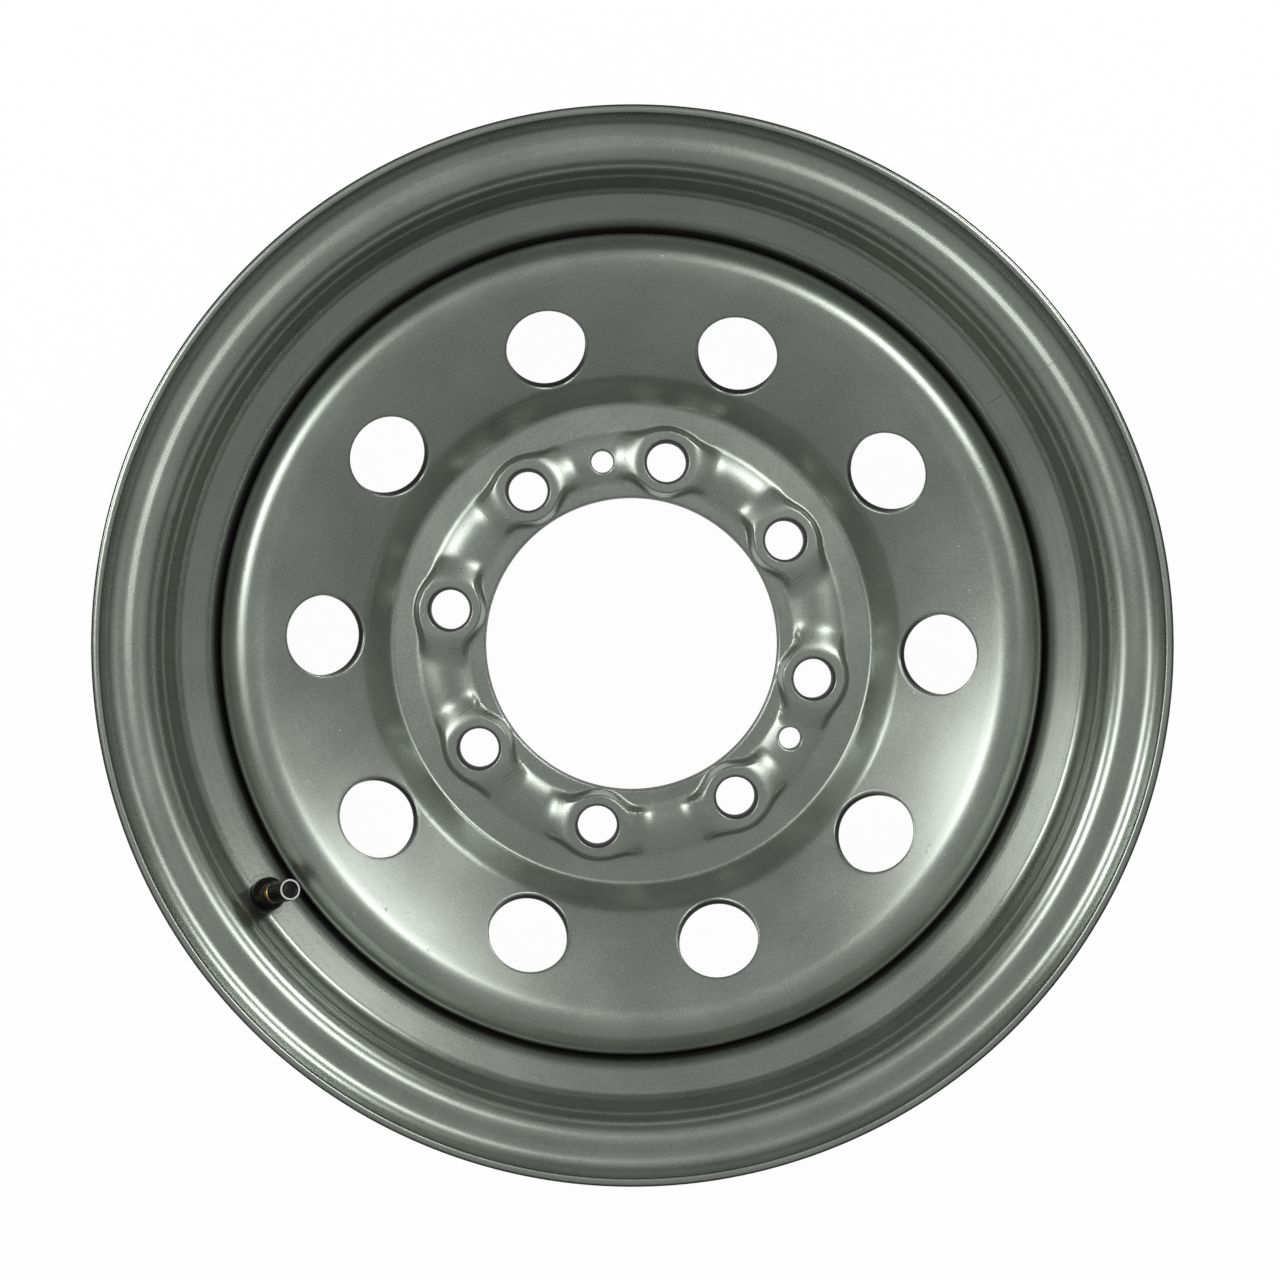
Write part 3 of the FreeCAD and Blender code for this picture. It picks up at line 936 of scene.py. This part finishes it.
# %% Turn a section about a leaning axis
TURN_STEPS = 48
stem_frame = Matrix.Translation(stem_foot) @ stem_axis.to_track_quat("Z", "Y").to_matrix().to_4x4()
hole_frame = Matrix.Translation(valve_hole) @ hole_axis.to_track_quat("Z", "Y").to_matrix().to_4x4()


def turned(axis_frame, corners, steps=TURN_STEPS):
    """A mesh turned from (radius, height, bend) corners about the Z axis of a frame."""
    bm = bmesh.new()
    rounded_path(bm, corners)
    spun(bm, steps)
    bmesh.ops.transform(bm, matrix=axis_frame, verts=bm.verts)
    return bm


def add_copy(bm, part, name):
    """Adds a turned part to a mesh, and gives the open edges that it brings."""
    first = len(bm.edges)
    mesh = kept_mesh(part, name)
    bm.from_mesh(mesh)
    bpy.data.meshes.remove(mesh)
    bm.edges.ensure_lookup_table()
    return [edge for edge in bm.edges[first:] if edge.is_boundary]


# %% Rubber body
foot_level = -4.0
rubber_foot = [
    (5.4, -9.4, 0), (8.9, -9.4, 0.9), (9.5, -7.6, 0.6), (9.5, -6.2, 0.5), (6.4, -4.05, 0.6),
    (5.55, -3.9, 0.3), (5.55, 0.3, 0.2), (7.0, 0.3, 0)]
rubber_bulb = [
    (7.3, 1.9, 0), (7.3, 4.0, 3.0), (6.2, 6.6, 3.0), (5.1, 7.7, 0.6), (4.65, 7.7, 0.2), (4.55, 7.0, 0),
    (3.9, 6.3, 0), (3.9, -8.6, 0)]


def is_in_foot(edge):
    """Whether an edge lies on the tyre side of the rim's sheet."""
    return (hole_frame.inverted() @ edge.verts[0].co).z < foot_level


bm = bmesh.new()
shell_ends = add_copy(bm, turned(hole_frame, rubber_foot), "rubber_foot")
shell_ends += add_copy(bm, turned(stem_frame, rubber_bulb), "rubber_bulb")
for in_foot in (False, True):
    bmesh.ops.bridge_loops(bm, edges=[edge for edge in shell_ends if is_in_foot(edge) == in_foot])
finished_piece(bm, "valve_rubber", rubber, "wheel", "valve_rubber", "valve_body")

# %% [markdown]
# The tube comes out of the rubber as a plain collar. Above it the tube is threaded outside for the cap. The
# thread is drawn as fine rings, which at this pitch can't be told from a helix.

# %% Threaded stem
stem_radius = 3.85
stem_bore = 1.9
stem_bottom = -8.5
stem_top = 25.0
core_bore = 2.65
collar_radius = 4.5
thread_root = 3.5
thread_pitch = 0.7
thread_start = 12.1
thread_count = 17
teeth = [
    corner for tooth in range(thread_count) for corner in (
        (thread_root, thread_start + tooth * thread_pitch, 0),
        (stem_radius, thread_start + (tooth + 0.5) * thread_pitch, 0))]
below_thread = [
    (stem_bore, stem_bottom, 0), (stem_radius, stem_bottom, 0.3), (stem_radius, 6.4, 0),
    (collar_radius, 7.05, 0), (collar_radius, 11.5, 0.3), (stem_radius, 12.0, 0)]
above_thread = [
    (thread_root, thread_start + thread_count * thread_pitch, 0), (stem_radius - 0.2, 24.4, 0.2),
    (3.5, stem_top, 0.1), (core_bore, stem_top, 0.2), (core_bore, 15.5, 0), (stem_bore, 14.75, 0),
    (stem_bore, stem_bottom, 0)]
bm = turned(stem_frame, below_thread + teeth + above_thread)
finished_piece(bm, "threaded_stem", brass, "wheel", "stem_brass", "valve_stem")

# %% [markdown]
# The cap is moulded with straight ribs for the fingers. It is turned with four steps to a rib, and two steps
# of every four are drawn in along its side. The end has a raised rim round a shallow recess.

# %% Knurled cap
rib_count = 24
rib_steps = 4
rib_depth = 0.5
rib_bottom = 13.2
rib_top = 26.6
rib_cuts = 6
cap_radius = 4.65
cap_bore = 3.95
cap_mouth = 12.3
cap_roof = 25.7
side_slack = 0.01
tall = 2.0
cap_section = [
    (0, 26.55, 0), (2.2, 26.3, 3.0), (3.5, 26.25, 0.4), (3.68, cap_end, 0.25), (4.3, cap_end, 0.3),
    (4.55, 27.0, 0.5), (cap_radius, rib_top, 0.3), (cap_radius, rib_bottom, 0.3), (4.5, cap_mouth, 0.3),
    (cap_bore, cap_mouth, 0.2), (cap_bore, cap_roof, 0.2), (0, cap_roof, 0)]
around = rib_steps * rib_count
bm = turned(Matrix.Identity(4), cap_section, around)
cap_side = [
    edge for edge in bm.edges if all(vert.co.xy.length > cap_radius - side_slack for vert in edge.verts)]
tall_edges = [edge for edge in cap_side if abs(edge.verts[0].co.z - edge.verts[1].co.z) > tall]
bmesh.ops.subdivide_edges(bm, edges=tall_edges, cuts=rib_cuts)
drawn_in = 1 - rib_depth / cap_radius
for vert in bm.verts:
    column = round(math.atan2(vert.co.y, vert.co.x) / FULL_TURN * around)
    if vert.co.xy.length > cap_radius - 2 * side_slack and column % rib_steps in (1, 2):
        vert.co = (vert.co.x * drawn_in, vert.co.y * drawn_in, vert.co.z)
bmesh.ops.transform(bm, matrix=stem_frame, verts=bm.verts)
finished_piece(bm, "knurled_cap", cap_plastic, "cap", "cap_plastic", "valve_cap")

# %% [markdown]
# The core's spring is a wire wound about the pin. A small circle is spun three turns with a climb at each
# step. It is squeezed when the pin is pressed.

# %% Core spring
wire_radius = 0.16
wire_sides = 8
coil_radius = 1.1
coil_bottom = 20.0
coil_top = 23.2
coil_turns = 3
coil_steps = 24 * coil_turns
climb = (coil_top - coil_bottom - 2 * wire_radius) / coil_steps
bm = bmesh.new()
bmesh.ops.create_circle(bm, cap_ends=False, segments=wire_sides, radius=wire_radius)
bmesh.ops.rotate(bm, verts=bm.verts, cent=(0, 0, 0), matrix=Matrix.Rotation(math.pi / 2, 3, "X"))
bmesh.ops.translate(bm, verts=bm.verts, vec=(coil_radius, 0, coil_bottom + wire_radius))
bmesh.ops.spin(
    bm, geom=bm.verts[:] + bm.edges[:], cent=(0, 0, 0), axis=(0, 0, 1), dvec=(0, 0, climb),
    angle=coil_turns * FULL_TURN, steps=coil_steps)
bmesh.ops.holes_fill(bm, edges=[edge for edge in bm.edges if edge.is_boundary], sides=0)
bmesh.ops.transform(bm, matrix=stem_frame, verts=bm.verts)
spring = finished_piece(bm, "core_spring", spring_steel, "wheel", "spring_steel", "valve_core_spring")
spring_foot = stem_frame @ Vector((0, 0, coil_bottom))
tuple(spring_foot * MM)
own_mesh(spring)

# %% [markdown]
# The other pieces of the core and the cap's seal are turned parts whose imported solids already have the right
# shape. They stay, and only get their finish.

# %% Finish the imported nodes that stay
kept_nodes = {
    "valve_core_barrel": core_brass, "valve_core_pin": core_brass, "valve_core_gasket": core_seal,
    "valve_core_seal": core_rubber, "valve_cap_seal": core_rubber}
for node, finish in kept_nodes.items():
    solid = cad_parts[node]
    solid.data.materials.clear()
    solid.data.materials.append(finish)
print("finished nodes:", sorted(kept_nodes))

# %% [markdown]
# ## Camera
# The photograph looks almost straight down on the wheel as it lies on its inboard lip. The camera's place,
# aim and lens were fitted to the circles of the rim, the bolts, the bore and the hand holes.

# %% Set up the camera
picture_turn = Matrix.Rotation(math.radians(-34.2), 4, "Z")
camera_place = Matrix.Translation((-14.795 * MM, 20.314 * MM, 1000.339 * MM))
camera_aim = Matrix.Rotation(-0.0185333, 4, "Y") @ Matrix.Rotation(-0.0186522, 4, "X")
camera = bpy.data.objects.new("camera", bpy.data.cameras.new("camera"))
camera.data.lens = 62.51
camera.data.sensor_width = 36
camera.matrix_world = picture_turn @ camera_place @ camera_aim
bpy.context.scene.collection.objects.link(camera)
bpy.context.scene.camera = camera
print("camera at:", [round(part, 3) for part in camera.matrix_world.translation])

# %% [markdown]
# ## Floor and light
# The floor is white to the camera and in reflections, and keeps a faint shadow. To all other rays it is a
# matte white sheet. Four soft boxes light the wheel, a high and a low one on the right of the picture and the
# same on the left. The room around them is dim and brightens overhead, and it is plain white where the camera
# looks past the floor.

# %% Lay the floor
floor_half = 20
floor_gap = 0.2
floor_glow = 0.97
floor_mesh = bpy.data.meshes.new("floor")
bm = bmesh.new()
bmesh.ops.create_grid(bm, x_segments=1, y_segments=1, size=floor_half)
bmesh.ops.translate(bm, vec=(0, 0, -(lip_height + floor_gap) * MM), verts=bm.verts)
bm.to_mesh(floor_mesh)
bm.free()
floor = bpy.data.objects.new("floor", floor_mesh)
bpy.context.scene.collection.objects.link(floor)

# %% Paint the floor
floor_white = bpy.data.materials.new("floor_white")
floor_white.use_nodes = True
floor_tree = floor_white.node_tree
floor_tree.nodes.remove(floor_tree.nodes["Principled BSDF"])
seen = Wire(floor_tree, floor_tree.nodes.new("ShaderNodeLightPath").outputs["Is Camera Ray"])
glossy = seen.output("Is Glossy Ray")
through = seen.output("Is Transmission Ray")
shown = (seen + glossy + through).maths("MINIMUM", 1.0)
matte = seen.node("ShaderNodeBsdfDiffuse", {}, {"Color": grey(0.9)})
glow = seen.node("ShaderNodeEmission", {}, {"Color": grey(1.0), "Strength": 1.0})
blend = seen.node("ShaderNodeMixShader", {}, {0: shown * floor_glow, 1: matte, 2: glow})
blend.feed(floor_tree.nodes["Material Output"], "Surface")
floor_mesh.materials.append(floor_white)
print("stage:", floor.name, floor_white.name)

# %% Light the room
room = bpy.data.worlds.new("room")
room.use_nodes = True
ray = Wire(room.node_tree, room.node_tree.nodes.new("ShaderNodeTexCoord").outputs["Generated"])
upward = ray.node("ShaderNodeSeparateXYZ", {}, {0: ray}, "Z")
dome = upward.step(0.1, 0.65).mix(grey(0.04), grey(0.38))
looked_at = ray.node("ShaderNodeLightPath", {}, {}, "Is Camera Ray")
looked_at.mix(dome, grey(1.0)).feed(room.node_tree.nodes["Background"], "Color")
bpy.context.scene.world = room
bpy.context.scene.view_settings.view_transform = "Standard"

# %% Set up the soft boxes
box_size = 0.5
box_distance = 1.6
tiers = {"high": (math.radians(34), 5.5), "low": (math.radians(78), 8.0)}
bearings = {"right": math.radians(44), "left": math.radians(160)}


def soft_box(name, tilt, bearing, watts):
    """A square lamp at a tilt from overhead and a bearing in the picture, which faces the wheel."""
    lamp = bpy.data.lights.new(name, "AREA")
    lamp.shape = "SQUARE"
    lamp.size = box_size
    lamp.energy = watts
    holder = bpy.data.objects.new(name, lamp)
    across = math.sin(tilt)
    towards = Vector((across * math.cos(bearing), across * math.sin(bearing), math.cos(tilt)))
    place = picture_turn @ (towards.normalized() * box_distance)
    holder.matrix_world = Matrix.Translation(place) @ place.to_track_quat("Z", "Y").to_matrix().to_4x4()
    bpy.context.scene.collection.objects.link(holder)


for tier, (tilt, watts) in tiers.items():
    for side, bearing in bearings.items():
        soft_box(f"{tier}_{side}_box", tilt, bearing, watts)
print("soft boxes:", len(tiers) * len(bearings))
